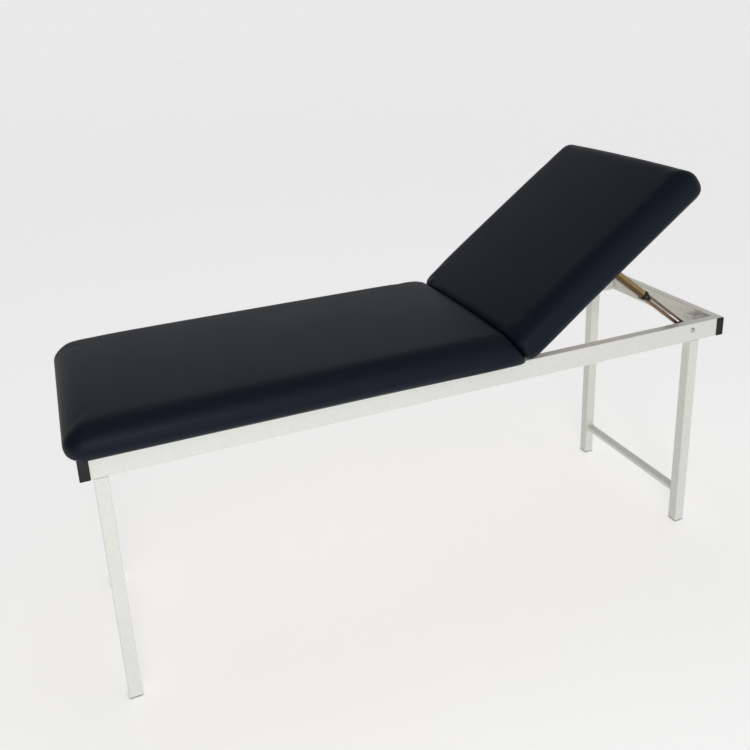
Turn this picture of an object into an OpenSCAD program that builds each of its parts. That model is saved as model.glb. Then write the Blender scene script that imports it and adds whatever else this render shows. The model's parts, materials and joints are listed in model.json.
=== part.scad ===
// Examination couch: a welded steel tube frame, one long seat pad, and a backrest
// that is held up by two telescopic ratchet stays.
// X runs from the foot end to the head end, Y across and Z up from the floor.
// The left side is the -Y side. The backrest is drawn raised.

/* [Frame] */
// Length of the frame over its two end tubes
frame_len = 1800; // [1750:5:1900]
// Width over the outer faces of the side rails
frame_w = 490; // [460:5:540]
// Height of the rails' top face above the floor
rail_top = 663; // [560:1:760]
// Height of a side rail and of an end tube
rail_h = 55; // [50:1:60]
// Width of a side rail and of an end tube
rail_w = 25; // [24:0.5:28]
// Wall of the rails, end tubes and legs
tube_wall = 1.5; // [1.2:0.1:2]
// Side of a square leg
leg_w = 32; // [30:1:35]
// Foot end to the middle of the foot legs
leg_foot_x = 45; // [45:1:90]
// Head end to the middle of the head legs
leg_head_inset = 102; // [95:1:130]
// Height of the stretchers' middle above the floor
stretcher_z = 99.5; // [60:0.5:200]
// Width of a stretcher along the couch
stretcher_w = 25; // [20:1:28]
// Height of a stretcher
stretcher_h = 15; // [12:1:20]

/* [Padding] */
// Pads' overhang past the side rails
side_overhang = 43; // [40:1:50]
// Seat pad's overhang past the foot end of the frame
foot_overhang = 24.5; // [22:0.5:30]
// Height of a pad along its edges
pad_edge_h = 84; // [78:1:90]
// Rise of a pad's middle above its edges
pad_crown = 8; // [4:1:16]
// Radius of a pad's corners seen from above
pad_corner_r = 46; // [40:1:60]
// Length of the backrest pad
back_pad_len = 670; // [640:5:675]
// How much thicker the backrest pad is than the seat pad
back_pad_extra = 8; // [0:1:12]
// Thickness of the boards inside the pads
board_t = 18; // [15:1:20]

/* [Backrest] */
// Foot end to the backrest hinge's axis
hinge_x = 1128; // [1120:1:1132]
// Angle at which the backrest stands
tilt = 36; // [30:0.5:37]
// Hinge axis to the stays' top pin, along the board
stay_pin_x = 352.4; // [345:0.1:356]
// Head end to the stays' bottom pivot
stay_inset = 112; // [108:1:116]
// Length of a stay's toothed rack, from its pivot
rack_len = 228; // [226:1:232]
// Distance between two teeth of a rack
tooth_pitch = 12; // [10:0.5:14]

/* [Hidden] */

$fn = 48;
LEFT = -1;
RIGHT = 1;
// Cut solids run this far past the face that they open
over = 1;
// The origin lies under the middle of the couch, pads included
x_origin = (frame_len - foot_overhang) / 2;

// Tube corners
rail_r = 2.5;
leg_r = 3;
// Rail middle line, left side, and the faces beside it
rail_y = -(frame_w - rail_w) / 2;
rail_inner_y = -(frame_w / 2 - rail_w);
rail_bottom = rail_top - rail_h;
leg_y = -(frame_w - leg_w) / 2;
leg_head_x = frame_len - leg_head_inset;
leg_lid = 2;

// Cross tube under the joint between the pads
mid_tube = 25;
mid_tube_x = hinge_x - 65.5;

// Plastic plugs in the end tubes and in the legs
plug_gap = 0.2;
plug_wall = 1.8;
plug_depth = 14;
plug_overlap = 0.1;
plug_straight = 0.6;
cap_t = 3;
cap_reveal = 1.5;
insert_t = 3;
insert_depth = 18;

// Accessory socket on the head tube
socket_inset = 43;
socket_y = socket_inset - frame_w / 2;
socket_w = 45;
socket_reach = 44;
socket_t = 4;
socket_h = 40;
socket_drop = 5;

// Boards and pads. A pad's cover wraps under the margin of its board, and the backrest
// lies pad_gap above the rails when it is down.
wrap_t = 1.5;
wrap_margin = 38;
board_overhang = 5;
board_r = 12;
board_gap = 0.3;
board_end_gap = 20;
pad_gap = 0.5;
pad_h = pad_edge_h + pad_crown;
pad_half_w = frame_w / 2 + side_overhang;
pad_under_r = 35;
pad_top_r = 33;
pad_foot_top_r = 54;
back_end_x = 3;
back_corner_r = 38;
back_under_r = 20;
back_hinge_top_r = 10;
pad_joint_gap = 1.5;
seat_board_x = 14;
seat_board_end = hinge_x - board_end_gap;
back_board_x = hinge_x + board_end_gap;
back_pad_end = hinge_x + back_end_x + back_pad_len;
back_board_end = back_pad_end - pad_under_r - 2;

// Screws
screw_d = 4;
screw_hole = 4.2;
screw_len = 13;
screw_head_d = 8;
screw_head_h = 2.4;

// Tabs on the rails that hold the seat board
tab_x = [220, 900];
tab_l = 40;
tab_w = 24;
tab_t = 2.5;

// Hinges
hinge_drop = 5;
hinge_z = rail_top - hinge_drop;
hinge_y = 150;
hinge_len = 70;
knuckles = 5;
knuckle_gap = 0.4;
knuckle_len = hinge_len / knuckles;
barrel_d = 9;
leaf_t = 2;
leaf_from = 6.5;
knuckle_from = 2;
leaf_to = 40;
leaf_screw_x = 30;
leaf_screw_y = [-24, 0, 24];
hinge_pin_d = 5;
hinge_pin_head_d = 8;
hinge_pin_head_t = 1.6;
hinge_pin_proud = 0.1;
hinge_bore = 5.1;

// Stays: the bottom pivot, the top pin with the backrest down, then raised
stay_inboard = 15;
stay_pivot_drop = 20.7;
stay_y = rail_inner_y + stay_inboard;
stay_x = frame_len - stay_inset;
stay_z = rail_top - stay_pivot_drop;
stay_pin_drop = 20.6;
pin_dx = stay_pin_x;
pin_dz = pad_gap - stay_pin_drop + hinge_drop;
pin_x = hinge_x + pin_dx * cos(tilt) - pin_dz * sin(tilt);
pin_z = hinge_z + pin_dx * sin(tilt) + pin_dz * cos(tilt);
stay_len = norm([stay_x - pin_x, pin_z - stay_z]);
stay_angle = atan2(pin_z - stay_z, stay_x - pin_x);

// Rack: a flat tube with a slot right through, toothed along its lower edge
rack_h = 20;
rack_w = 13;
rack_wall = 1.5;
rack_lug = 14;
slot_from = 16;
slot_h = 6.2;
slot_rise = 1.6;
slot_end = 8;
tooth_l = 4;
tooth_h = 2.2;

// Sliding tube with a ridge along each side
stay_tube_len = 153;
stay_tube_tail = 8;
stay_tube_h = 22.6;
stay_tube_w = 16.2;
ridge_w = 19.6;
cavity_w = 13.6;
cavity_h = 20.4;
stay_tube_from = stay_len + stay_tube_tail - stay_tube_len;

// Collar on the sliding tube's open end
collar_w = 22.6;
collar_h = 25.6;
collar_r = 3;
collar_lip = 3;
collar_sleeve = 5;
collar_fit = 0.1;
collar_mouth_w = 13.4;
collar_mouth_h = 20.2;
lip_x = stay_tube_from - collar_lip;

// Catch, with its pin and spring. Distances along the stay are from the collar's lip.
catch_pin_back = 2.8;
catch_x = lip_x - catch_pin_back;
catch_pin_y = -9.3;
catch_pin_d = 2.5;
catch_bore = 2.6;
catch_barrel_d = 5.2;
catch_t = 2.5;
catch_h = 12;
catch_reach = 18;
spring_room = 4;
lug_gap = 0.2;
lug_t = 2.2;
lug_l = 5.3;
lug_w = 5.2;
nose_l = 3;
nose_tip_y = -4.2;
nose_low = 1.1;
nose_h = 3.2;
spring_r = 2.05;
spring_wire = 0.3;
spring_turns = 4;
spring_pitch = 0.85;
spring_steps = 20;
spring_sides = 8;

// Pivot hardware
bolt_d = 8;
bolt_hole = 8.2;
bolt_head_d = 15;
bolt_head_h = 4.5;
spacer_d = 14;
side_play = 0.1;
washer_d = 16;
washer_t = 1.6;
washer_hole = 8.4;
nut_af = 13;
nut_t = 6.5;
nut_bore = 8.1;
nut_collar_d = 11.5;
nut_collar_h = 2;
bolt_tail = 2;
rack_outer_y = stay_y - rack_w / 2 - side_play;
rack_inner_y = stay_y + rack_w / 2 + side_play;
nut_y = rack_inner_y + washer_t;
bolt_end_y = nut_y + nut_t + nut_collar_h + bolt_tail;

// Bracket on the backrest board that holds a stay's top pin
cheek_gap = 0.4;
bracket_t = 2;
bracket_l = 64;
cheek_l = 30;
cheek_below_pin = 8;
bracket_screw_x = 25;
rivet_d = 6;
rivet_hole = 6.1;
rivet_head_d = 10;
rivet_head_h = 1.8;
pin_hole = 6.4;
cheek_y = ridge_w / 2 + cheek_gap;
bracket_w = 2 * (cheek_y + bracket_t);

// ---- Placing ----

module placed() { translate([-x_origin, 0, 0]) children(); }

// Shapes are drawn for the left side and mirrored for the right one
module on_side(side) {
    if (side == LEFT) children();
    else mirror([0, 1, 0]) children();
}

// Shapes of the backrest are drawn with it lying flat
module on_backrest() {
    placed() translate([hinge_x, 0, hinge_z]) rotate([0, -tilt, 0])
        translate([-hinge_x, 0, -hinge_z]) children();
}

// Shapes of a stay are drawn from its pivot, with X along it towards the top pin
module along_stay(side) {
    placed() on_side(side) translate([stay_x, stay_y, stay_z])
        rotate([0, stay_angle, 0]) mirror([1, 0, 0]) children();
}

// ---- Basic shapes ----

module round_rect(w, h, r) {
    square([w - 2 * r, h], center = true);
    square([w, h - 2 * r], center = true);
    for (x = [-1, 1], y = [-1, 1])
        translate([x * (w / 2 - r), y * (h / 2 - r)]) circle(r);
}

module tube_outline(w, h, wall, r) {
    difference() {
        round_rect(w, h, r);
        round_rect(w - 2 * wall, h - 2 * wall, r - wall / 2);
    }
}

// Extrudes an outline drawn in Y and Z along X
module along_x(l) { rotate([90, 0, 90]) linear_extrude(l) children(); }

// Extrudes an outline drawn in X and Z along Y, both ways from the middle
module along_y(l) { rotate([90, 0, 0]) linear_extrude(l, center = true) children(); }

module rod_y(d, l) { along_y(l) circle(d = d); }

// Domed head that stands on Z = 0
module dome(d, h) {
    r = (d * d / 4 + h * h) / (2 * h);
    rotate_extrude() intersection() {
        translate([0, h - r]) circle(r);
        square([d / 2, h]);
    }
}

module ring(d, bore, h) {
    rotate_extrude() translate([bore / 2, 0]) square([(d - bore) / 2, h]);
}

// Wood screw driven upwards, its head under Z = 0
module screw() {
    cylinder(d = screw_d, h = screw_len);
    mirror([0, 0, 1]) dome(screw_head_d, screw_head_h);
}

module screw_pilot() {
    translate([0, 0, -over]) cylinder(d = screw_hole, h = screw_len + 2 * over);
}

// ---- Frame ----

module rail(side) {
    color("gainsboro") placed() on_side(side) difference() {
        translate([rail_w, rail_y, rail_top - rail_h / 2])
            along_x(frame_len - 2 * rail_w) tube_outline(rail_w, rail_h, tube_wall, rail_r);
        translate([stay_x, rail_y, stay_z]) rod_y(bolt_hole, rail_w + 2 * over);
    }
}

module end_tube(x) {
    color("gainsboro") placed() translate([x, 0, rail_top - rail_h / 2])
        along_y(frame_w) tube_outline(rail_w, rail_h, tube_wall, rail_r);
}

module cross_tube_mid() {
    color("gainsboro") placed() translate([mid_tube_x, 0, rail_top - mid_tube / 2])
        along_y(-2 * rail_inner_y) tube_outline(mid_tube, mid_tube, tube_wall, rail_r);
}

module leg(side, x) {
    leg_h = rail_bottom - insert_t;
    color("gainsboro") placed() on_side(side) translate([x, leg_y, insert_t]) difference() {
        linear_extrude(leg_h) round_rect(leg_w, leg_w, leg_r);
        translate([0, 0, -over]) linear_extrude(leg_h - leg_lid + over)
            round_rect(leg_w - 2 * tube_wall, leg_w - 2 * tube_wall, leg_r - tube_wall / 2);
    }
}

module stretcher(x) {
    color("gainsboro") placed() translate([x, 0, stretcher_z])
        along_y(frame_w - 2 * leg_w)
            tube_outline(stretcher_w, stretcher_h, tube_wall, rail_r);
}

// Plug whose rim stands on Z = 0 and whose skirt reaches down into the tube
module tube_plug(w, h, r, rim, reveal, depth) {
    rim_w = w - 2 * reveal;
    rim_h = h - 2 * reveal;
    hull() {
        linear_extrude(rim * plug_straight) round_rect(rim_w, rim_h, r, $fn = 32);
        linear_extrude(rim) round_rect(rim_w - rim, rim_h - rim, r, $fn = 32);
    }
    skirt_w = w - 2 * tube_wall - 2 * plug_gap;
    skirt_h = h - 2 * tube_wall - 2 * plug_gap;
    translate([0, 0, -depth]) linear_extrude(depth + plug_overlap)
        tube_outline(skirt_w, skirt_h, plug_wall, r);
}

module end_cap(side, x) {
    color("#1c1c1e") placed() on_side(side)
        translate([x, -frame_w / 2, rail_top - rail_h / 2]) rotate([90, 0, 0])
            tube_plug(rail_w, rail_h, rail_r, cap_t, cap_reveal / 2, plug_depth);
}

module leg_insert(side, x) {
    color("#1c1c1e") placed() on_side(side) translate([x, leg_y, insert_t])
        rotate([180, 0, 0]) tube_plug(leg_w, leg_w, leg_r, insert_t, 0, insert_depth);
}

// Bent steel strap on the head tube that takes an accessory's stem from above
module socket_bracket() {
    inner_w = socket_w - 2 * socket_t;
    socket_z = rail_top - socket_drop - socket_h;
    color("gainsboro") placed()
        translate([frame_len - rail_w - socket_reach, socket_y, socket_z])
            linear_extrude(socket_h) difference() {
                union() {
                    translate([socket_t, 0]) square([socket_reach - socket_t, socket_w]);
                    translate([0, socket_t]) square([socket_t, inner_w]);
                    for (y = [socket_t, socket_w - socket_t])
                        translate([socket_t, y]) circle(socket_t);
                }
                translate([socket_t, socket_t]) square([socket_reach, inner_w]);
            }
}

// ---- Pads ----

// Points of a quarter arc about c, from angle a on
function arc(c, r, a, steps = 6) =
    [for (i = [0:steps]) c + r * [cos(a + 90 * i / steps), sin(a + 90 * i / steps)]];

// Section of a pad across the couch: round under sides, round top edges and a low crown
module pad_cross(extra = 0) {
    crown_steps = 8;
    flat_w = pad_half_w - pad_top_r;
    edge_h = pad_edge_h + extra;
    polygon(concat(
        arc([pad_under_r - pad_half_w, pad_under_r], pad_under_r, 180),
        arc([pad_half_w - pad_under_r, pad_under_r], pad_under_r, 270),
        arc([flat_w, edge_h - pad_top_r], pad_top_r, 0),
        [for (i = [1:crown_steps - 1]) let (u = 1 - 2 * i / crown_steps)
            [flat_w * u, edge_h + pad_crown * (1 - u * u)]],
        arc([-flat_w, edge_h - pad_top_r], pad_top_r, 90)
    ));
}

// What a round corner takes off an outline, drawn for a corner at the origin
module corner_waste(r) {
    difference() {
        translate([-over, -over]) square(r + over);
        translate([r, r]) circle(r);
    }
}

// Side view of a pad of height h, with the radii of its four corners
module pad_side(l, h, near_low, near_top, far_low, far_top) {
    difference() {
        square([l, h]);
        corner_waste(near_low);
        translate([0, h]) mirror([0, 1]) corner_waste(near_top);
        translate([l, 0]) mirror([1, 0]) corner_waste(far_low);
        translate([l, h]) rotate(180) corner_waste(far_top);
    }
}

module pad_plan(l, near_r, far_r) {
    difference() {
        translate([0, -pad_half_w]) square([l, 2 * pad_half_w]);
        for (m = [0, 1]) mirror([0, m]) {
            translate([0, -pad_half_w]) corner_waste(near_r);
            translate([l, -pad_half_w]) mirror([1, 0]) corner_waste(far_r);
        }
    }
}

module board_plan(from, to) {
    half_w = frame_w / 2 + board_overhang;
    translate([(from + to) / 2, 0]) round_rect(to - from, 2 * half_w, board_r);
}

// Room for a board inside its pad, and the window that the wrapped margin leaves below it
module board_room(from, to) {
    translate([0, 0, wrap_t]) linear_extrude(board_t + board_gap)
        board_plan(from - board_gap, to + board_gap);
    window_w = frame_w + 2 * (board_overhang - wrap_margin);
    translate([from + wrap_margin, -window_w / 2, -over])
        cube([to - from - 2 * wrap_margin, window_w, wrap_t + 2 * over]);
}

// The joint end slopes as the raised backrest's end does, a little way off it
module seat_pad() {
    l = hinge_x + foot_overhang;
    color("#20262e") placed() difference() {
        translate([-foot_overhang, 0, rail_top]) intersection() {
            linear_extrude(pad_h) pad_plan(l, pad_corner_r, over);
            along_y(2 * pad_half_w)
                pad_side(l, pad_h, pad_under_r, pad_foot_top_r, over, over);
            along_x(l) pad_cross();
        }
        translate([0, 0, rail_top]) board_room(seat_board_x, seat_board_end);
        translate([0, 0, rail_top]) leaf_screw_places(-1) screw_pilot();
        translate([hinge_x, 0, hinge_z]) rotate([0, -tilt, 0])
            translate([back_end_x - pad_joint_gap, -frame_w, -pad_h])
                cube([pad_h, 2 * frame_w, 4 * pad_h]);
    }
}

module backrest_pad() {
    h = pad_h + back_pad_extra;
    color("#20262e") on_backrest() difference() {
        translate([hinge_x + back_end_x, 0, rail_top + pad_gap]) intersection() {
            linear_extrude(h) pad_plan(back_pad_len, pad_corner_r / 2, back_corner_r);
            along_y(2 * pad_half_w)
                pad_side(back_pad_len, h, back_under_r, back_hinge_top_r, pad_under_r, pad_top_r);
            along_x(back_pad_len) pad_cross(back_pad_extra);
        }
        translate([0, 0, rail_top + pad_gap]) {
            board_room(back_board_x, back_board_end);
            leaf_screw_places(1) screw_pilot();
        }
    }
}

// ---- Boards and what holds them ----

module tab_places() {
    for (side = [LEFT, RIGHT], x = tab_x)
        placed() on_side(side) translate([x, rail_inner_y + tab_w / 2, rail_top - tab_t])
            children();
}

// Drawn at the screws of both hinges' leaves, on the face that the screw heads lie on
module leaf_screw_places(direction) {
    for (y = [-hinge_y, hinge_y], dy = leaf_screw_y)
        translate([hinge_x + direction * leaf_screw_x, y + dy, 0]) children();
}

module bracket_screw_places() {
    for (side = [LEFT, RIGHT], dx = [-bracket_screw_x, bracket_screw_x])
        on_side(side) translate([hinge_x + stay_pin_x + dx, stay_y, 0]) children();
}

module seat_board() {
    color("burlywood") difference() {
        placed() translate([0, 0, rail_top + wrap_t]) linear_extrude(board_t)
            board_plan(seat_board_x, seat_board_end);
        tab_places() screw_pilot();
        placed() translate([0, 0, rail_top - leaf_t]) leaf_screw_places(-1) screw_pilot();
    }
}

module backrest_board() {
    color("burlywood") on_backrest() translate([0, 0, rail_top + pad_gap]) difference() {
        translate([0, 0, wrap_t]) linear_extrude(board_t)
            board_plan(back_board_x, back_board_end);
        translate([0, 0, -leaf_t]) {
            leaf_screw_places(1) screw_pilot();
            bracket_screw_places() screw_pilot();
        }
    }
}

module seat_fixing_tabs() {
    color("gainsboro") tab_places() difference() {
        translate([-tab_l / 2, -tab_w / 2, 0]) cube([tab_l, tab_w, tab_t]);
        screw_pilot();
    }
}

module seat_screws() {
    color("silver") tab_places() screw();
}

// ---- Hinges ----

// A leaf drawn on the +X side of its axis, with the knuckles that are its own
module hinge_leaf(own, plate_z) {
    difference() {
        union() {
            translate([leaf_from, -hinge_len / 2, plate_z])
                cube([leaf_to - leaf_from, hinge_len, leaf_t]);
            for (i = own) translate([0, (i + 0.5) * knuckle_len - hinge_len / 2, 0]) {
                rod_y(barrel_d, knuckle_len - knuckle_gap);
                translate([knuckle_from, -(knuckle_len - knuckle_gap) / 2, plate_z])
                    cube([leaf_from, knuckle_len - knuckle_gap, leaf_t]);
            }
        }
        rod_y(hinge_bore, hinge_len + 2 * over);
        for (dy = leaf_screw_y) translate([leaf_screw_x, dy, plate_z]) screw_pilot();
    }
}

module seat_leaf(side) {
    color("silver") placed() on_side(side) translate([hinge_x, -hinge_y, hinge_z])
        mirror([1, 0, 0]) hinge_leaf([0:2:knuckles - 1], hinge_drop - leaf_t);
}

module back_leaf(side) {
    color("silver") on_backrest() on_side(side) translate([hinge_x, -hinge_y, hinge_z])
        hinge_leaf([1:2:knuckles - 1], hinge_drop + pad_gap - leaf_t);
}

module hinge_pin(side) {
    color("silver") placed() on_side(side) translate([hinge_x, -hinge_y, hinge_z]) {
        rod_y(hinge_pin_d, hinge_len + 2 * hinge_pin_proud);
        for (m = [0, 1]) mirror([0, m, 0]) translate([0, -hinge_len / 2, 0])
            rotate([90, 0, 0]) dome(hinge_pin_head_d, hinge_pin_head_t);
    }
}

module hinge_seat_screws() {
    color("silver") placed() translate([0, 0, rail_top - leaf_t]) leaf_screw_places(-1) screw();
}

module hinge_back_screws() {
    color("silver") on_backrest() translate([0, 0, rail_top + pad_gap - leaf_t])
        leaf_screw_places(1) screw();
}

// ---- Stays ----

module tooth_row() {
    slot_l = rack_len - slot_end - slot_from;
    for (x = [tooth_pitch:tooth_pitch:slot_l - tooth_pitch])
        translate([slot_from + x, slot_rise - slot_h / 2])
            polygon([[0, -over], [0, 0], [tooth_l, tooth_h], [tooth_l, -over]]);
}

module stay_rack(side) {
    color("#8c7362") along_stay(side) difference() {
        along_y(rack_w) difference() {
            union() {
                circle(d = rack_h);
                translate([0, -rack_h / 2]) square([rack_len, rack_h]);
            }
            circle(d = bolt_hole);
            difference() {
                translate([slot_from, slot_rise - slot_h / 2])
                    square([rack_len - slot_end - slot_from, slot_h]);
                tooth_row();
            }
        }
        translate([rack_lug, 0, 0]) along_x(rack_len)
            square([rack_w - 2 * rack_wall, rack_h - 2 * rack_wall], center = true);
    }
}

// Six-sided outline of the sliding tube, grown by a fit
module stay_tube_outline(fit = 0) {
    top = stay_tube_h / 2 + fit;
    half = stay_tube_w / 2 + fit;
    ridge = ridge_w / 2 + fit;
    polygon([[-half, -top], [half, -top], [ridge, 0], [half, top], [-half, top], [-ridge, 0]]);
}

module stay_tube(side) {
    color("#b8935a") along_stay(side) difference() {
        translate([stay_tube_from, 0, 0]) along_x(stay_tube_len) difference() {
            stay_tube_outline();
            square([cavity_w, cavity_h], center = true);
        }
        translate([stay_len, 0, 0]) rod_y(pin_hole, ridge_w + 2 * over);
    }
}

module stay_collar(side) {
    color("#1c1c1e") along_stay(side) {
        translate([lip_x, 0, 0]) along_x(collar_lip) difference() {
            round_rect(collar_w, collar_h, collar_r);
            square([collar_mouth_w, collar_mouth_h], center = true);
        }
        translate([stay_tube_from, 0, 0]) along_x(collar_sleeve) difference() {
            round_rect(collar_w, collar_h, collar_r);
            stay_tube_outline(collar_fit);
        }
        for (m = [0, 1]) mirror([0, 0, m]) difference() {
            translate([lip_x - lug_l, catch_pin_y - lug_w / 2, catch_h / 2 + lug_gap])
                cube([lug_l, lug_w, lug_t]);
            translate([catch_x, catch_pin_y, 0]) cylinder(d = catch_bore, h = catch_h + lug_t);
        }
    }
}

module stay_catch(side) {
    end_x = lip_x - catch_reach;
    color("#1c1c1e") along_stay(side) difference() {
        union() {
            translate([end_x, catch_pin_y - catch_t / 2, -catch_h / 2])
                cube([catch_x - end_x, catch_t, catch_h]);
            translate([catch_x, catch_pin_y, -catch_h / 2])
                cylinder(d = catch_barrel_d, h = catch_h);
            translate([end_x, catch_pin_y, nose_low])
                cube([nose_l, nose_tip_y - catch_pin_y, nose_h]);
        }
        translate([catch_x, catch_pin_y, -catch_h]) cylinder(d = catch_bore, h = 2 * catch_h);
        translate([catch_x, catch_pin_y, -spring_room / 2])
            cylinder(d = catch_barrel_d + over, h = spring_room);
    }
}

module stay_catch_pin(side) {
    color("silver") along_stay(side)
        translate([catch_x, catch_pin_y, -catch_h / 2 - lug_gap - lug_t])
            cylinder(d = catch_pin_d, h = catch_h + 2 * lug_gap + 2 * lug_t);
}

// Coil of round wire about Z, its middle at the origin
module coil() {
    rings = spring_turns * spring_steps;
    points = [for (i = [0:rings], j = [0:spring_sides - 1])
        let (a = 360 * i / spring_steps, b = 360 * j / spring_sides)
        let (r = spring_r + spring_wire * cos(b))
        [r * cos(a), r * sin(a),
         spring_pitch * (i - rings / 2) / spring_steps + spring_wire * sin(b)]];
    walls = [for (i = [0:rings - 1], j = [0:spring_sides - 1])
        let (k = (j + 1) % spring_sides, here = i * spring_sides)
        [here + j, here + k, here + spring_sides + k, here + spring_sides + j]];
    first = [for (j = [0:spring_sides - 1]) spring_sides - 1 - j];
    last = [for (j = [0:spring_sides - 1]) rings * spring_sides + j];
    polyhedron(points, concat(walls, [first, last]));
}

module stay_spring(side) {
    color("silver") along_stay(side)
        translate([catch_x, catch_pin_y, 0]) coil();
}

// Steel channel under the backrest board; its two cheeks straddle the stay's top end
module stay_bracket(side) {
    drop = stay_pin_drop + cheek_below_pin;
    color("gainsboro") on_backrest() on_side(side)
        translate([hinge_x + stay_pin_x, stay_y, rail_top + pad_gap]) difference() {
            union() {
                translate([-bracket_l / 2, -bracket_w / 2, -bracket_t])
                    cube([bracket_l, bracket_w, bracket_t]);
                for (m = [0, 1]) mirror([0, m, 0]) translate([0, cheek_y + bracket_t / 2, 0])
                    along_y(bracket_t) {
                        translate([-cheek_l / 2, -stay_pin_drop])
                            square([cheek_l, stay_pin_drop - bracket_t / 2]);
                        translate([-cheek_l / 2 + cheek_below_pin, -drop])
                            square([cheek_l - 2 * cheek_below_pin, drop - bracket_t]);
                        for (x = [-1, 1])
                            translate([x * (cheek_l / 2 - cheek_below_pin), -stay_pin_drop])
                                circle(cheek_below_pin);
                    }
            }
            translate([0, 0, -stay_pin_drop]) rod_y(rivet_hole, bracket_w + 2 * over);
            for (dx = [-bracket_screw_x, bracket_screw_x])
                translate([dx, 0, -bracket_t]) screw_pilot();
        }
}

module bracket_screws() {
    color("silver") on_backrest() translate([0, 0, rail_top + pad_gap - bracket_t])
        bracket_screw_places() screw();
}

// Each rivet ends at its cheek's inner face, so the stay can part from it in mid travel
module top_rivets() {
    color("silver") on_backrest() for (side = [LEFT, RIGHT], m = [0, 1]) on_side(side)
        translate([hinge_x + stay_pin_x, stay_y, rail_top + pad_gap - stay_pin_drop])
            mirror([0, m, 0]) translate([0, -cheek_y - bracket_t, 0]) rotate([90, 0, 0]) {
                dome(rivet_head_d, rivet_head_h);
                translate([0, 0, -bracket_t]) cylinder(d = rivet_d, h = bracket_t);
            }
}

// ---- Pivot hardware ----

// Drawn with Z pointing out of the couch from the given distance off the middle
module pivot_places(y) {
    for (side = [LEFT, RIGHT]) placed() on_side(side)
        translate([stay_x, y, stay_z]) rotate([90, 0, 0]) children();
}

module pivot_bolts() {
    shank = bolt_end_y + frame_w / 2;
    color("silver") pivot_places(-frame_w / 2) {
        dome(bolt_head_d, bolt_head_h);
        translate([0, 0, -shank]) cylinder(d = bolt_d, h = shank);
    }
}

module pivot_spacers() {
    color("silver") pivot_places(rack_outer_y)
        ring(spacer_d, bolt_hole, rack_outer_y - rail_inner_y);
}

module pivot_washers() {
    color("silver") pivot_places(nut_y) ring(washer_d, washer_hole, washer_t);
}

module pivot_nuts() {
    color("silver") pivot_places(nut_y + nut_t) difference() {
        union() {
            cylinder(d = nut_af / cos(30), h = nut_t, $fn = 6);
            translate([0, 0, -nut_collar_h]) cylinder(d = nut_collar_d, h = nut_collar_h);
        }
        translate([0, 0, -nut_t]) cylinder(d = nut_bore, h = 3 * nut_t);
    }
}

rail(LEFT);  // rail_left
rail(RIGHT);  // rail_right
end_tube(rail_w / 2);  // cross_tube_foot
end_tube(frame_len - rail_w / 2);  // cross_tube_head
cross_tube_mid();
leg(LEFT, leg_foot_x);  // leg_foot_left
leg(RIGHT, leg_foot_x);  // leg_foot_right
leg(LEFT, leg_head_x);  // leg_head_left
leg(RIGHT, leg_head_x);  // leg_head_right
stretcher(leg_foot_x);  // stretcher_foot
stretcher(leg_head_x);  // stretcher_head
end_cap(LEFT, rail_w / 2);  // cap_foot_left
end_cap(RIGHT, rail_w / 2);  // cap_foot_right
end_cap(LEFT, frame_len - rail_w / 2);  // cap_head_left
end_cap(RIGHT, frame_len - rail_w / 2);  // cap_head_right
leg_insert(LEFT, leg_foot_x);  // insert_foot_left
leg_insert(RIGHT, leg_foot_x);  // insert_foot_right
leg_insert(LEFT, leg_head_x);  // insert_head_left
leg_insert(RIGHT, leg_head_x);  // insert_head_right
socket_bracket();
seat_board();
seat_pad();
seat_fixing_tabs();
seat_screws();
backrest_board();
backrest_pad();
seat_leaf(LEFT);  // hinge_left_seat_leaf
back_leaf(LEFT);  // hinge_left_back_leaf
hinge_pin(LEFT);  // hinge_left_pin
seat_leaf(RIGHT);  // hinge_right_seat_leaf
back_leaf(RIGHT);  // hinge_right_back_leaf
hinge_pin(RIGHT);  // hinge_right_pin
hinge_seat_screws();
hinge_back_screws();
stay_rack(LEFT);  // stay_left_rack
stay_tube(LEFT);  // stay_left_tube
stay_collar(LEFT);  // stay_left_collar
stay_catch(LEFT);  // stay_left_catch
stay_catch_pin(LEFT);  // stay_left_catch_pin
stay_spring(LEFT);  // stay_left_spring
stay_rack(RIGHT);  // stay_right_rack
stay_tube(RIGHT);  // stay_right_tube
stay_collar(RIGHT);  // stay_right_collar
stay_catch(RIGHT);  // stay_right_catch
stay_catch_pin(RIGHT);  // stay_right_catch_pin
stay_spring(RIGHT);  // stay_right_spring
stay_bracket(LEFT);  // stay_left_bracket
stay_bracket(RIGHT);  // stay_right_bracket
pivot_bolts();
pivot_spacers();
pivot_washers();
pivot_nuts();
top_rivets();
bracket_screws();
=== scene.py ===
import json
import math

import bmesh
import bpy
import numpy as np
from mathutils import Matrix, Vector


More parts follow.
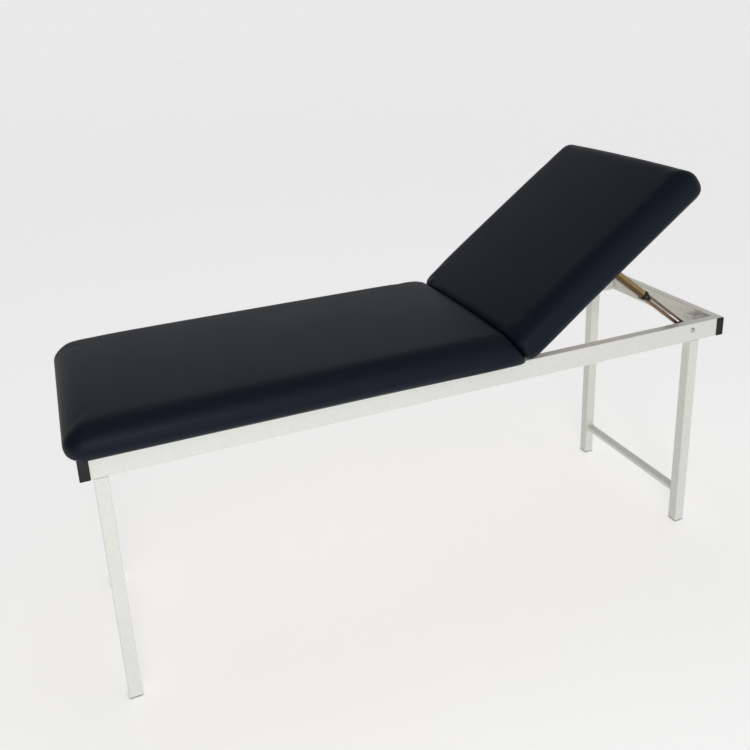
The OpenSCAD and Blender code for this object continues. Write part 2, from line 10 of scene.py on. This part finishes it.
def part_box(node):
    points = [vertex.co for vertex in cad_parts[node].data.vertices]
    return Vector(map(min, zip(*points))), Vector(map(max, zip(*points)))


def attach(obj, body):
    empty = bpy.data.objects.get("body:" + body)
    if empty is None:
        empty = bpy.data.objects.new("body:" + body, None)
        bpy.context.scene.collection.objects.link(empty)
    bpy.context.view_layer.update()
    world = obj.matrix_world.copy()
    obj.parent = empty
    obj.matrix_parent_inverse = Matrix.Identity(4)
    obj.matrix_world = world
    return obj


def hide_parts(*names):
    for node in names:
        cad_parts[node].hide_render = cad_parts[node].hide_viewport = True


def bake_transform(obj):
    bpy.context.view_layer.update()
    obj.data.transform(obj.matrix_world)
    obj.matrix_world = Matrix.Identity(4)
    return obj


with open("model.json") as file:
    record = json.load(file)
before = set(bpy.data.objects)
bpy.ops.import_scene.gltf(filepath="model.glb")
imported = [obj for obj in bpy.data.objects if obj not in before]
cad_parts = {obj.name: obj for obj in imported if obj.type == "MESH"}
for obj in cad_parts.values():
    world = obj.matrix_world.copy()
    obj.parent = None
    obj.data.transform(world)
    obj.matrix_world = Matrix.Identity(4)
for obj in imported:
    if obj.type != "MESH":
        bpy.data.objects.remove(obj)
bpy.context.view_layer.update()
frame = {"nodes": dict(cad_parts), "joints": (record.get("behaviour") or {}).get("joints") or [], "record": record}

# Examination couch. Lengths are in metres: X runs from the foot end to the head end,
# Z up from the floor. The backrest is raised at rest.

scene = bpy.context.scene
MM = 0.001
SIDES = {"left": -1, "right": 1}

# The camera looks at the couch's left side from beyond its foot end. Angles are in
# degrees, and the lens and sensor in millimetres.
CAMERA_PLACE = (-0.850, -1.930, 1.571)
CAMERA_ANGLES = (72.07, 2.29, -22.27)
CAMERA_LENS = 39.23
CAMERA_SENSOR = 36
CAMERA_SHIFT = (0.0044, -0.1416)

# Studio: what the lights aim at, the floor's half side and how much light it gives off
LIGHTS_AIM = (0, 0, 0.6)
FLOOR_HALF = 30
FLOOR_GLOW = 0.38

# How far the stays lean from level at rest
STAY_ANGLE = math.radians(38.4)

# What the pads are built round: the hinge line, the backrest's tilt and the CAD pads
HINGE = Vector(next(j["pos_m"] for j in frame["joints"] if j["name"] == "backrest_hinge"))
TILT = math.radians(36)
RAIL_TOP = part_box("rail_left")[1].z
PAD_HALF_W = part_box("seat_pad")[1].y
PAD_FOOT_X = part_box("seat_pad")[0].x
SEAT_PAD_END = HINGE.x - 2 * MM

# Pads: height at the edges, how far the middle stands above that, and the rounding of
# the long sides, as inset() takes it
PAD_EDGE_H = 91 * MM
PAD_CROWN = 7 * MM
PAD_SIDE = (36 * MM, 35 * MM, 48 * MM, 46 * MM)
PAD_LEVELS = 22

# Upright corners get tighter as the pad's end rounds in, but never below the least
CORNER_SHRINK = 0.8
LEAST_CORNER = 8 * MM

# The backrest's pad: its extra height, its distance from the hinge, its length and its
# clearance over the rails when it lies flat
BACK_PAD_EXTRA = 12 * MM
BACK_PAD_START = 3 * MM
BACK_PAD_LEN = 670 * MM
PAD_GAP = 0.5 * MM

# Boards inside the pads, and the cover's margin that is wrapped under them
BACK_BOARD_FROM = 17 * MM
BACK_BOARD_TO = BACK_PAD_LEN - 37 * MM
BOARD_T = 18 * MM
BOARD_ROOM = 0.3 * MM
WRAP_T = 1.5 * MM
WRAP_MARGIN = 38 * MM

# Cloth simulation of the pads' covers: points within the held reach of a resting face
# stay where they are
VOXEL = 7 * MM
SIM_FRAMES = 20
SIM_PRESSURE = 4.0
SIM_SWELL = 2 * MM
HELD_REACH = 4 * MM

# Staples, set back from the margin's inner edge, and weld beads
STAPLE_INSET = 5 * MM
STAPLE_PITCH = 42 * MM
STAPLE_HALF = 5 * MM
STAPLE_WIRE = 0.45 * MM
STAPLE_DEPTH = 2.5 * MM
STAPLE_PROUD = 0.25 * MM
STAPLE_SKEW = 0.12
BEAD_R = 2 * MM
THIN_BEAD_R = 1.8 * MM
BEAD_PITCH = 1.6 * MM

RANGE_SOCKETS = ("From Min", "From Max", "To Min", "To Max")


# ---- Camera, light and floor ----

def link(obj):
    scene.collection.objects.link(obj)
    return obj


def make_camera():
    data = bpy.data.cameras.new("camera")
    data.sensor_width = CAMERA_SENSOR
    data.lens = CAMERA_LENS
    data.shift_x, data.shift_y = CAMERA_SHIFT
    camera = link(bpy.data.objects.new("camera", data))
    camera.location = CAMERA_PLACE
    camera.rotation_euler = [math.radians(a) for a in CAMERA_ANGLES]
    scene.camera = camera


def softbox(name, place, size, power):
    """A round white light that aims at the middle of the couch."""
    data = bpy.data.lights.new(name, "AREA")
    data.shape = "DISK"
    data.size = size
    data.energy = power
    light = link(bpy.data.objects.new(name, data))
    light.location = place
    aim = Vector(LIGHTS_AIM) - Vector(place)
    light.rotation_euler = aim.to_track_quat("-Z", "Y").to_euler()


def make_sky():
    """A white studio, darker past the foot end and overhead."""
    world = bpy.data.worlds.new("studio")
    world.use_nodes = True
    tree = world.node_tree
    sky = tree.nodes["Background"]
    sky.inputs["Color"].default_value = (1, 1, 1, 1)
    place = tree.nodes.new("ShaderNodeTexCoord")
    parts = tree.nodes.new("ShaderNodeSeparateXYZ")
    tree.links.new(place.outputs["Generated"], parts.inputs["Vector"])
    both = tree.nodes.new("ShaderNodeMath")
    both.operation = "MULTIPLY"
    falls = (("X", -0.25, -0.80, 0.82, 0.10), ("Z", 0.25, 0.90, 1.0, 0.45))
    for i, (axis, *ranges) in enumerate(falls):
        fall = tree.nodes.new("ShaderNodeMapRange")
        tree.links.new(parts.outputs[axis], fall.inputs["Value"])
        for socket, content in zip(RANGE_SOCKETS, ranges):
            fall.inputs[socket].default_value = content
        tree.links.new(fall.outputs["Result"], both.inputs[i])
    tree.links.new(both.outputs[0], sky.inputs["Strength"])
    scene.world = world


def make_lights():
    softbox("key", (-1.0, -3.3, 0.9), 1.0, 34)
    softbox("top", (-0.4, 1.4, 3.6), 2.2, 6)
    scene.view_settings.view_transform = "Standard"


def make_floor():
    """A floor that glows a little, so that the couch's shadow on it stays faint."""
    mesh = bpy.data.meshes.new("floor")
    h = FLOOR_HALF
    corners = [(-h, -h, 0), (h, -h, 0), (h, h, 0), (-h, h, 0)]
    mesh.from_pydata(corners, [], [(0, 1, 2, 3)])
    floor = link(bpy.data.objects.new("floor", mesh))
    paint = Look("floor_paint", (0.92, 0.92, 0.92), 0.6)
    paint.tint(paint.noise(40), (0.8, 0.8, 0.78), 0.02)
    paint.shader.inputs["Emission Color"].default_value = (1, 1, 1, 1)
    paint.shader.inputs["Emission Strength"].default_value = FLOOR_GLOW
    floor.data.materials.append(paint.material)


# ---- Materials ----

class Look:
    """A material under construction, with short ways to add what real surfaces show."""

    def __init__(self, name, colour, roughness, metallic=0.0):
        self.material = bpy.data.materials.new(name)
        self.material.use_nodes = True
        self.tree = self.material.node_tree
        self.shader = self.tree.nodes["Principled BSDF"]
        self.shader.inputs["Metallic"].default_value = metallic
        self.place = self.tree.nodes.new("ShaderNodeTexCoord").outputs["Object"]
        self.colour = self.value("ShaderNodeRGB", "Color", (*colour, 1))
        self.roughness = self.value("ShaderNodeValue", "Value", roughness)
        self.normal = None
        self.wire(self.colour, self.shader, "Base Color")
        self.wire(self.roughness, self.shader, "Roughness")

    def wire(self, output, node, socket):
        self.tree.links.new(output, node.inputs[socket])

    def value(self, kind, output, content):
        node = self.tree.nodes.new(kind)
        node.outputs[output].default_value = content
        return node.outputs[output]

    def add(self, kind, **inputs):
        """A new node. An input that is another node's output is wired, any other is set."""
        node = self.tree.nodes.new(kind)
        for socket, content in inputs.items():
            socket = socket.replace("_", " ")
            if isinstance(content, bpy.types.NodeSocket):
                self.wire(content, node, socket)
            else:
                node.inputs[socket].default_value = content
        return node

    def noise(self, scale, detail=3.0, stretch=(1, 1, 1), turn=0.0):
        """Noise of about 1 / scale metres, drawn out along an axis of small stretch."""
        place = self.add("ShaderNodeMapping", Vector=self.place, Scale=stretch,
                         Rotation=(0, turn, 0)).outputs["Vector"]
        return self.add("ShaderNodeTexNoise", Vector=place, Scale=scale,
                        Detail=detail).outputs["Fac"]

    def cells(self, scale):
        """Distance to the edges between small round cells, as in an embossed grain."""
        node = self.add("ShaderNodeTexVoronoi", Vector=self.place, Scale=scale)
        return node.outputs["Distance"]

    def facing_up(self):
        """1 on faces that look up, -1 on faces that look down."""
        normal = self.tree.nodes.new("ShaderNodeNewGeometry").outputs["Normal"]
        return self.add("ShaderNodeSeparateXYZ", Vector=normal).outputs["Z"]

    def span(self, factor, low, high, start=0.3, end=0.7):
        """Factor from start to end mapped to low to high."""
        node = self.tree.nodes.new("ShaderNodeMapRange")
        self.wire(factor, node, "Value")
        for socket, content in zip(RANGE_SOCKETS, (start, end, low, high)):
            node.inputs[socket].default_value = content
        return node.outputs["Result"]

    def tint(self, factor, colour, share=1.0, start=0.3, end=0.7):
        """Mixes colour in where factor is high."""
        node = self.tree.nodes.new("ShaderNodeMix")
        node.data_type = "RGBA"
        self.wire(self.span(factor, 0, share, start, end), node, "Factor")
        self.tree.links.new(self.colour, node.inputs[6])
        node.inputs[7].default_value = (*colour, 1)
        self.colour = node.outputs[2]
        self.wire(self.colour, self.shader, "Base Color")

    def polish(self, factor, change, start=0.3, end=0.7):
        """Adds change to the roughness where factor is high."""
        node = self.tree.nodes.new("ShaderNodeMath")
        node.operation = "ADD"
        self.tree.links.new(self.roughness, node.inputs[0])
        self.tree.links.new(self.span(factor, 0, change, start, end), node.inputs[1])
        self.roughness = node.outputs[0]
        self.wire(self.roughness, self.shader, "Roughness")

    def bump(self, height, distance, strength):
        """Raises the surface where height is high, on top of any bump before it."""
        node = self.add("ShaderNodeBump", Height=height, Distance=distance, Strength=strength)
        if self.normal is not None:
            self.wire(self.normal, node, "Normal")
        self.normal = node.outputs["Normal"]
        self.wire(self.normal, self.shader, "Normal")

    def soft_edges(self, radius):
        """Rounds the shading of sharp edges. Comes before any bump."""
        node = self.tree.nodes.new("ShaderNodeBevel")
        node.samples = 6
        node.inputs["Radius"].default_value = radius
        self.normal = node.outputs["Normal"]
        self.wire(self.normal, self.shader, "Normal")

    def edge_mask(self, radius):
        """High close to a sharp edge, where the rounded normal leaves the face's own."""
        bevel = self.add("ShaderNodeBevel", Radius=radius).outputs["Normal"]
        flat = self.tree.nodes.new("ShaderNodeNewGeometry").outputs["True Normal"]
        dot = self.tree.nodes.new("ShaderNodeVectorMath")
        dot.operation = "DOT_PRODUCT"
        self.tree.links.new(bevel, dot.inputs[0])
        self.tree.links.new(flat, dot.inputs[1])
        return self.span(dot.outputs["Value"], 1, 0, 0.8, 1.0)


def powder_coat():
    look = Look("powder_coat", (0.700, 0.712, 0.668), 0.24)
    look.soft_edges(0.8 * MM)
    look.tint(look.noise(5, 2), (0.670, 0.680, 0.632), 0.5)
    look.tint(look.noise(900, 1), (0.620, 0.625, 0.585), 0.15, 0.5, 0.7)
    look.polish(look.noise(20, 3), 0.06)
    look.bump(look.noise(420, 2), 0.10 * MM, 0.35)
    look.shader.inputs["Coat Weight"].default_value = 0.35
    look.shader.inputs["Coat Roughness"].default_value = 0.12
    return look.material


def vinyl():
    look = Look("vinyl", (0.0048, 0.0082, 0.0160), 0.42)
    look.tint(look.noise(3, 2), (0.0056, 0.0092, 0.0172), 0.5)
    look.tint(look.noise(1100, 2), (0.0030, 0.0052, 0.0100), 0.5, 0.45, 0.7)
    look.polish(look.noise(6, 2), 0.03)
    look.polish(look.cells(1150), 0.06, 0.1, 0.6)
    look.bump(look.noise(30, 2), 0.3 * MM, 0.05)
    look.bump(look.cells(1150), 0.10 * MM, 0.55)
    look.shader.inputs["Specular IOR Level"].default_value = 0.10
    return look.material


def plywood():
    look = Look("plywood", (0.50, 0.35, 0.20), 0.62)
    look.soft_edges(0.6 * MM)
    grain = look.noise(60, 5, (0.08, 1, 1))
    look.tint(grain, (0.36, 0.225, 0.115), 0.8, 0.4, 0.65)
    look.tint(look.noise(7, 3, (0.25, 1, 1)), (0.62, 0.46, 0.28), 0.6)
    look.tint(look.noise(480, 2, (0.05, 1, 1)), (0.25, 0.15, 0.07), 0.5, 0.6, 0.72)
    look.bump(grain, 0.3 * MM, 0.4)
    return look.material


def black_plastic():
    look = Look("black_plastic", (0.006, 0.006, 0.007), 0.50)
    look.soft_edges(0.9 * MM)
    look.tint(look.noise(90, 3), (0.011, 0.011, 0.012), 0.6)
    look.shader.inputs["Specular IOR Level"].default_value = 0.30
    look.tint(look.edge_mask(0.6 * MM), (0.03, 0.03, 0.031), 0.5, 0.3, 1.0)
    look.polish(look.noise(300, 3), 0.14)
    look.bump(look.noise(1800, 2), 0.08 * MM, 0.5)
    return look.material


def plated(name, colour, other, worn, roughness, turn=0.0, drawn=(1, 1, 1), down_shade=0.0):
    """Plated steel: cloudy plating, painted shade on the faces that look down, standing in for the dark room they
    would reflect, with fine lines along the part and edges worn bright."""
    look = Look(name, colour, roughness, 1.0)
    look.soft_edges(0.5 * MM)
    look.tint(look.noise(55, 4), other, 0.75)
    look.tint(look.noise(260, 3), worn, 0.18, 0.5, 0.75)
    # Painted shade: downward faces take a darker copy of the plating colour, for the dark surroundings they would
    # reflect
    look.tint(look.facing_up(), [c * 0.3 for c in other], down_shade, 0.08, -0.08)
    look.tint(look.edge_mask(0.7 * MM), worn, 0.8, 0.2, 1.0)
    look.polish(look.noise(120, 4), 0.14)
    look.bump(look.noise(700, 2, drawn, turn), 0.06 * MM, 0.6)
    return look.material


def make_looks():
    """One look for each of the record's material slots."""
    lines = (-STAY_ANGLE, (0.04, 1, 1))
    return {
        "frame_paint": powder_coat(),
        "vinyl": vinyl(),
        "plywood": plywood(),
        "black_plastic": black_plastic(),
        # The last number of each plated look is the share of painted shade on its downward faces
        "gold_zinc": plated("gold_zinc", (0.33, 0.23, 0.105), (0.26, 0.175, 0.085),
                            (0.62, 0.50, 0.32), 0.26, *lines, 0.8),
        "rack_plating": plated("rack_plating", (0.27, 0.175, 0.125), (0.17, 0.105, 0.075),
                               (0.80, 0.70, 0.60), 0.27, *lines, 0.4),
        "bright_zinc": plated("bright_zinc", (0.44, 0.45, 0.46), (0.34, 0.35, 0.36),
                              (0.80, 0.80, 0.80), 0.22),
        "spring_steel": plated("spring_steel", (0.30, 0.30, 0.31), (0.24, 0.24, 0.25),
                               (0.6, 0.6, 0.6), 0.32),
    }


def finish_cad_nodes():
    """Every CAD node takes the look of its material slot."""
    for row in frame["record"]["subparts"]:
        node = frame["nodes"][row["node"]]
        look = looks[row["material_slot"]]
        if not node.material_slots:
            node.data.materials.append(look)
        for slot in node.material_slots:
            slot.material = look


# ---- Mesh helpers ----

def new_object(name, bm, slot):
    """A smooth-shaded piece that takes its look from a material slot."""
    mesh = bpy.data.meshes.new(name)
    bm.to_mesh(mesh)
    bm.free()
    mesh.shade_smooth()
    obj = link(bpy.data.objects.new(name, mesh))
    obj.data.materials.append(looks[slot])
    return obj


def settle(obj):
    """Puts the result of the object's modifiers into its mesh."""
    graph = bpy.context.evaluated_depsgraph_get()
    mesh = bpy.data.meshes.new_from_object(obj.evaluated_get(graph))
    obj.modifiers.clear()
    obj.data = mesh


def coords(obj):
    flat = np.zeros(len(obj.data.vertices) * 3)
    obj.data.vertices.foreach_get("co", flat)
    return flat.reshape(-1, 3)


def set_coords(obj, points):
    obj.data.vertices.foreach_set("co", points.ravel())
    obj.data.update()


def smoothstep(x):
    x = np.clip(x, 0, 1)
    return x * x * (3 - 2 * x)


def skin(bm, rings):
    """A closed surface over rings of vertices."""
    for low, high in zip(rings, rings[1:]):
        for k in range(len(low)):
            n = (k + 1) % len(low)
            bm.faces.new((low[k], low[n], high[n], high[k]))
    bm.faces.new(rings[0][::-1])
    bm.faces.new(rings[-1])


def sweep(bm, points, radii, sides):
    """A closed round tube along points, with a radius at each one."""
    rings = []
    for i, point in enumerate(points):
        ahead = points[min(i + 1, len(points) - 1)]
        behind = points[max(i - 1, 0)]
        turn = (ahead - behind).to_track_quat("Z", "Y")
        ring = []
        for k in range(sides):
            a = math.tau * k / sides
            off = Vector((math.cos(a), math.sin(a), 0)) * radii[i]
            ring.append(bm.verts.new(point + turn @ off))
        rings.append(ring)
    skin(bm, rings)


# ---- Pads ----

def inset(z, low_r, low_h, top_r, top_h, height):
    """How far an edge stands in from its widest line at height z: round below and on top."""
    if z < low_h:
        return low_r * (1 - math.sqrt(1 - ((low_h - z) / low_h) ** 2))
    up = (z - height + top_h) / top_h
    if up > 0:
        return top_r * (1 - math.sqrt(max(0.0, 1 - up * up)))
    return 0.0


def pad_ring(x0, x1, half_w, r0, r1, z, steps=8):
    """Points at height z of a rectangle whose corners are rounded by r0 and r1."""
    corners = [
        (x0 + r0, r0 - half_w, r0, 180),
        (x1 - r1, r1 - half_w, r1, 270),
        (x1 - r1, half_w - r1, r1, 0),
        (x0 + r0, half_w - r0, r0, 90),
    ]
    ring = []
    for cx, cy, r, start in corners:
        for k in range(steps + 1):
            a = math.radians(start + 90 * k / steps)
            ring.append(Vector((cx + r * math.cos(a), cy + r * math.sin(a), z)))
    return ring


def pad_block(name, length, edge_h, near, far, near_r, far_r, slope=0.0):
    """Foam block from X = 0 to length. Near and far round its ends, as inset() takes it,
    and near_r and far_r its upright corners. Slope leans its far end back as it rises.
    It starts a little small, for the cover to swell."""
    height = edge_h - SIM_SWELL
    bm = bmesh.new()
    rings = []
    for k in range(PAD_LEVELS + 1):
        z = height * (1 - math.cos(math.pi * k / PAD_LEVELS)) / 2
        side_in, near_in, far_in = (inset(z, *p, height) for p in (PAD_SIDE, near, far))
        r0 = max(near_r - near_in * CORNER_SHRINK, LEAST_CORNER)
        r1 = max(far_r - far_in * CORNER_SHRINK, LEAST_CORNER)
        ring = pad_ring(near_in, length - z * slope - far_in, PAD_HALF_W - side_in, r0, r1, z)
        rings.append([bm.verts.new(p) for p in ring])
    skin(bm, rings)
    block = new_object(name, bm, "vinyl")
    remesh = block.modifiers.new("remesh", "REMESH")
    remesh.mode = "VOXEL"
    remesh.voxel_size = VOXEL
    settle(block)
    return block


def crown(pad, length, edge_h, near_fall, near_reach, far_fall, far_reach):
    """Raises the top along its middle, and lets it fall away towards its two ends. The
    whole of it shows at the top, and none of it low on the sides."""
    p = coords(pad)
    none_below, fade = 0.35, 0.6
    share = smoothstep((p[:, 2] / edge_h - none_below) / fade)
    across = 1 - (p[:, 1] / PAD_HALF_W) ** 2
    rise = PAD_CROWN * across
    rise -= near_fall * np.exp(-np.maximum(p[:, 0], 0) / near_reach)
    rise -= far_fall * np.exp(-np.maximum(length - p[:, 0], 0) / far_reach)
    p[:, 2] += share * rise
    set_coords(pad, p)


def swell(pad, held):
    """Cloth simulation of the cover: foam pressure pushes it out, held points stay."""
    before = coords(pad)
    pins = pad.vertex_groups.new(name="held")
    pins.add([int(i) for i in np.flatnonzero(held)], 1.0, "REPLACE")
    cloth = pad.modifiers.new("cloth", "CLOTH")
    cloth.settings.use_pressure = True
    cloth.settings.uniform_pressure_force = SIM_PRESSURE
    cloth.settings.vertex_group_mass = "held"
    cloth.settings.quality = 3
    cloth.settings.effector_weights.gravity = 0
    cloth.collision_settings.use_collision = False
    for step in range(1, SIM_FRAMES + 1):
        scene.frame_set(step)
    settle(pad)
    scene.frame_set(1)
    moved = coords(pad) - before
    far = np.linalg.norm(moved, axis=1, keepdims=True)
    moved *= np.minimum(1, SIM_SWELL / np.maximum(far, 1e-9))
    set_coords(pad, before + moved)
    pad.vertex_groups.clear()


def refine(pad):
    """Divides every face once, and smooths it."""
    fine = pad.modifiers.new("fine", "SUBSURF")
    fine.levels = 1
    fine.render_levels = 1
    settle(pad)


def carve(pad, low, high):
    """Takes a box out of the pad."""
    bm = bmesh.new()
    bmesh.ops.create_cube(bm, size=1)
    middle = (Vector(low) + Vector(high)) / 2
    size = Vector(high) - Vector(low)
    bm.transform(Matrix.Translation(middle) @ Matrix.Diagonal((*size, 1)))
    cutter = new_object("cutter", bm, "vinyl")
    cut = pad.modifiers.new("cut", "BOOLEAN")
    cut.operation = "DIFFERENCE"
    cut.solver = "MANIFOLD"
    cut.object = cutter
    settle(pad)
    bpy.data.objects.remove(cutter)


def board_room(pad, start, end):
    """Room for the board inside the pad, and the window that the cover's margin leaves."""
    board_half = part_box("seat_board")[1].y
    carve(pad, (start - BOARD_ROOM, -board_half - BOARD_ROOM, WRAP_T),
          (end + BOARD_ROOM, board_half + BOARD_ROOM, WRAP_T + BOARD_T + BOARD_ROOM))
    carve(pad, (start + WRAP_MARGIN, WRAP_MARGIN - board_half, -0.01),
          (end - WRAP_MARGIN, board_half - WRAP_MARGIN, WRAP_T + MM))


def make_seat_cushion():
    length = SEAT_PAD_END - PAD_FOOT_X
    pad = pad_block("seat_cushion", length, PAD_EDGE_H,
                    (33 * MM, 36 * MM, 54 * MM, 50 * MM), (7 * MM, 10 * MM, 5 * MM, 6 * MM),
                    46 * MM, 24 * MM, math.tan(TILT))
    p = coords(pad)
    end_gap = (length - p[:, 2] * math.tan(TILT) - p[:, 0]) * math.cos(TILT)
    crown(pad, length, PAD_EDGE_H, 15 * MM, 55 * MM, 14 * MM, 50 * MM)
    swell(pad, (p[:, 2] < HELD_REACH) | (end_gap < HELD_REACH))
    refine(pad)
    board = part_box("seat_board")
    board_room(pad, board[0].x - PAD_FOOT_X, board[1].x - PAD_FOOT_X)
    pad.data.transform(Matrix.Translation((PAD_FOOT_X, 0, RAIL_TOP)))
    bend_at_hinge(pad)
    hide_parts("seat_pad")


def bend_at_hinge(pad):
    """Cuts rings of edges into the seat cushion's sloping end, parallel to the backrest, and bakes the pad's place
    into its mesh.
    """
    across = Vector((math.cos(TILT), 0, math.sin(TILT)))
    end = Vector((SEAT_PAD_END, 0, RAIL_TOP))
    bend_from = 13 * MM
    bend_to = 1.5 * MM
    rings = 11
    bm = bmesh.new()
    bm.from_mesh(pad.data)
    for k in range(rings + 1):
        back = bend_from + (bend_to - bend_from) * k / rings
        whole = bm.verts[:] + bm.edges[:] + bm.faces[:]
        bmesh.ops.bisect_plane(bm, geom=whole, plane_co=end - across * back, plane_no=across)
    bm.to_mesh(pad.data)
    bm.free()
    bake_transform(pad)


def raised():
    """From a pad that lies flat with its end at the origin to the raised backrest."""
    out = Matrix.Translation(HINGE) @ Matrix.Rotation(-TILT, 4, "Y")
    return out @ Matrix.Translation((BACK_PAD_START, 0, RAIL_TOP + PAD_GAP - HINGE.z))


def make_backrest_cushion():
    edge_h = PAD_EDGE_H + BACK_PAD_EXTRA
    pad = pad_block("backrest_cushion", BACK_PAD_LEN, edge_h,
                    (14 * MM, 20 * MM, 8 * MM, 9 * MM), (30 * MM, 34 * MM, 44 * MM, 44 * MM),
                    24 * MM, 34 * MM)
    p = coords(pad)
    crown(pad, BACK_PAD_LEN, edge_h, 8 * MM, 60 * MM, 6 * MM, 45 * MM)
    swell(pad, (p[:, 2] < HELD_REACH) | (p[:, 0] < HELD_REACH))
    refine(pad)
    board_room(pad, BACK_BOARD_FROM, BACK_BOARD_TO)
    pad.data.transform(raised())
    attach(pad, "backrest")
    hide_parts("backrest_pad")


# ---- Staples and welds ----

def staple(bm, spot, along):
    """A staple at spot, with its legs going up into the board."""
    along = along.normalized() * STAPLE_HALF
    up = Vector((0, 0, STAPLE_DEPTH))
    proud = Vector((0, 0, -STAPLE_PROUD))
    shoulder, bow = 0.98, 1.4
    path = [spot - along + up, spot - along * shoulder + proud, spot + proud * bow,
            spot + along * shoulder + proud, spot + along + up]
    sweep(bm, path, [STAPLE_WIRE] * len(path), 6)


def staples(name, body, place, start, end, skip):
    """Staples through the cover's margin, in the pad's own place: X from start to end."""
    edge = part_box("seat_board")[1].y - WRAP_MARGIN + STAPLE_INSET
    inner = WRAP_MARGIN - STAPLE_INSET
    spots = []
    count = round((end - start - 2 * inner) / STAPLE_PITCH)
    for k in range(count + 1):
        x = start + inner + (end - start - 2 * inner) * k / count
        spots += [(Vector((x, s * edge, 0)), Vector((1, STAPLE_SKEW, 0))) for s in (-1, 1)]
    count = round(2 * edge / STAPLE_PITCH)
    for k in range(1, count):
        y = -edge + 2 * edge * k / count
        spots += [(Vector((x, y, 0)), Vector((STAPLE_SKEW, 1, 0)))
                  for x in (start + inner, end - inner)]
    bm = bmesh.new()
    for spot, along in spots:
        if not skip(spot):
            staple(bm, spot, along)
    obj = new_object(name, bm, "bright_zinc")
    obj.data.transform(place)
    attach(obj, body)


def make_staples():
    """Rows of staples round both boards. They leave out the places of the hinges' leaves."""
    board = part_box("seat_board")
    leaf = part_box("hinge_left_seat_leaf")
    leaf_y = abs(leaf[0].y + leaf[1].y) / 2
    reach = (board[1].x - leaf[0].x) + WRAP_MARGIN

    def near_leaf(x_end):
        def skip(spot):
            beside = abs(abs(spot.y) - leaf_y) < STAPLE_PITCH
            return beside and abs(spot.x - x_end) < reach
        return skip

    staples("seat_staples", "frame", Matrix.Translation((0, 0, RAIL_TOP)),
            board[0].x, board[1].x, near_leaf(board[1].x))
    staples("backrest_staples", "backrest", raised(), BACK_BOARD_FROM, BACK_BOARD_TO,
            near_leaf(BACK_BOARD_FROM))


def bead(bm, points, radius=BEAD_R):
    """A weld bead along a broken line, rippled as the welder left it and thin at its ends."""
    points = [Vector(p) for p in points]
    path, radii = [], []
    for a, b in zip(points, points[1:]):
        count = max(2, round((b - a).length / BEAD_PITCH))
        for k in range(count):
            path.append(a.lerp(b, k / count))
    path.append(points[-1])
    for k in range(len(path)):
        ripple = 1 + 0.13 * math.sin(k * 2.1) + 0.08 * math.sin(k * 0.37)
        radii.append(radius * ripple * (0.5 if k in (0, len(path) - 1) else 1))
    sweep(bm, path, radii, 8)


def make_welds():
    """Beads where the legs meet the rails, the stretchers the legs and the rails the ends."""
    bm = bmesh.new()
    leg_in = 2 * MM
    rail_low, rail_high = 2 * MM, 3 * MM
    for end in ("foot", "head"):
        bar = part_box("stretcher_" + end)
        for side, s in SIDES.items():
            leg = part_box(f"leg_{end}_{side}")
            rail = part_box("rail_" + side)
            inner = min(abs(rail[0].y), abs(rail[1].y)) * s
            outer = max(abs(rail[0].y), abs(rail[1].y)) * s - s * 3 * MM
            near, far, z = leg[0].x + leg_in, leg[1].x - leg_in, leg[1].z
            bead(bm, [(near, outer, z), (near, inner, z), (far, inner, z), (far, outer, z)])
            (x0, x1), (low, high) = (bar[0].x, bar[1].x), (bar[0].z, bar[1].z)
            y = bar[1].y * s
            around = ((x0, low), (x1, low), (x1, high), (x0, high), (x0, low))
            bead(bm, [(x, y, h) for x, h in around], THIN_BEAD_R)
            x = rail[0].x if end == "foot" else rail[1].x
            bead(bm, [(x, inner, rail[0].z + rail_low), (x, inner, rail[1].z - rail_high)])
    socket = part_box("socket_bracket")
    x = socket[1].x
    for y in (socket[0].y, socket[1].y):
        bead(bm, [(x, y, socket[0].z + MM), (x, y, socket[1].z - MM)], THIN_BEAD_R)
    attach(new_object("weld_beads", bm, "frame_paint"), "frame")


looks = make_looks()
make_camera()
make_sky()
make_lights()
make_floor()
finish_cad_nodes()
make_seat_cushion()
make_backrest_cushion()
make_staples()
make_welds()
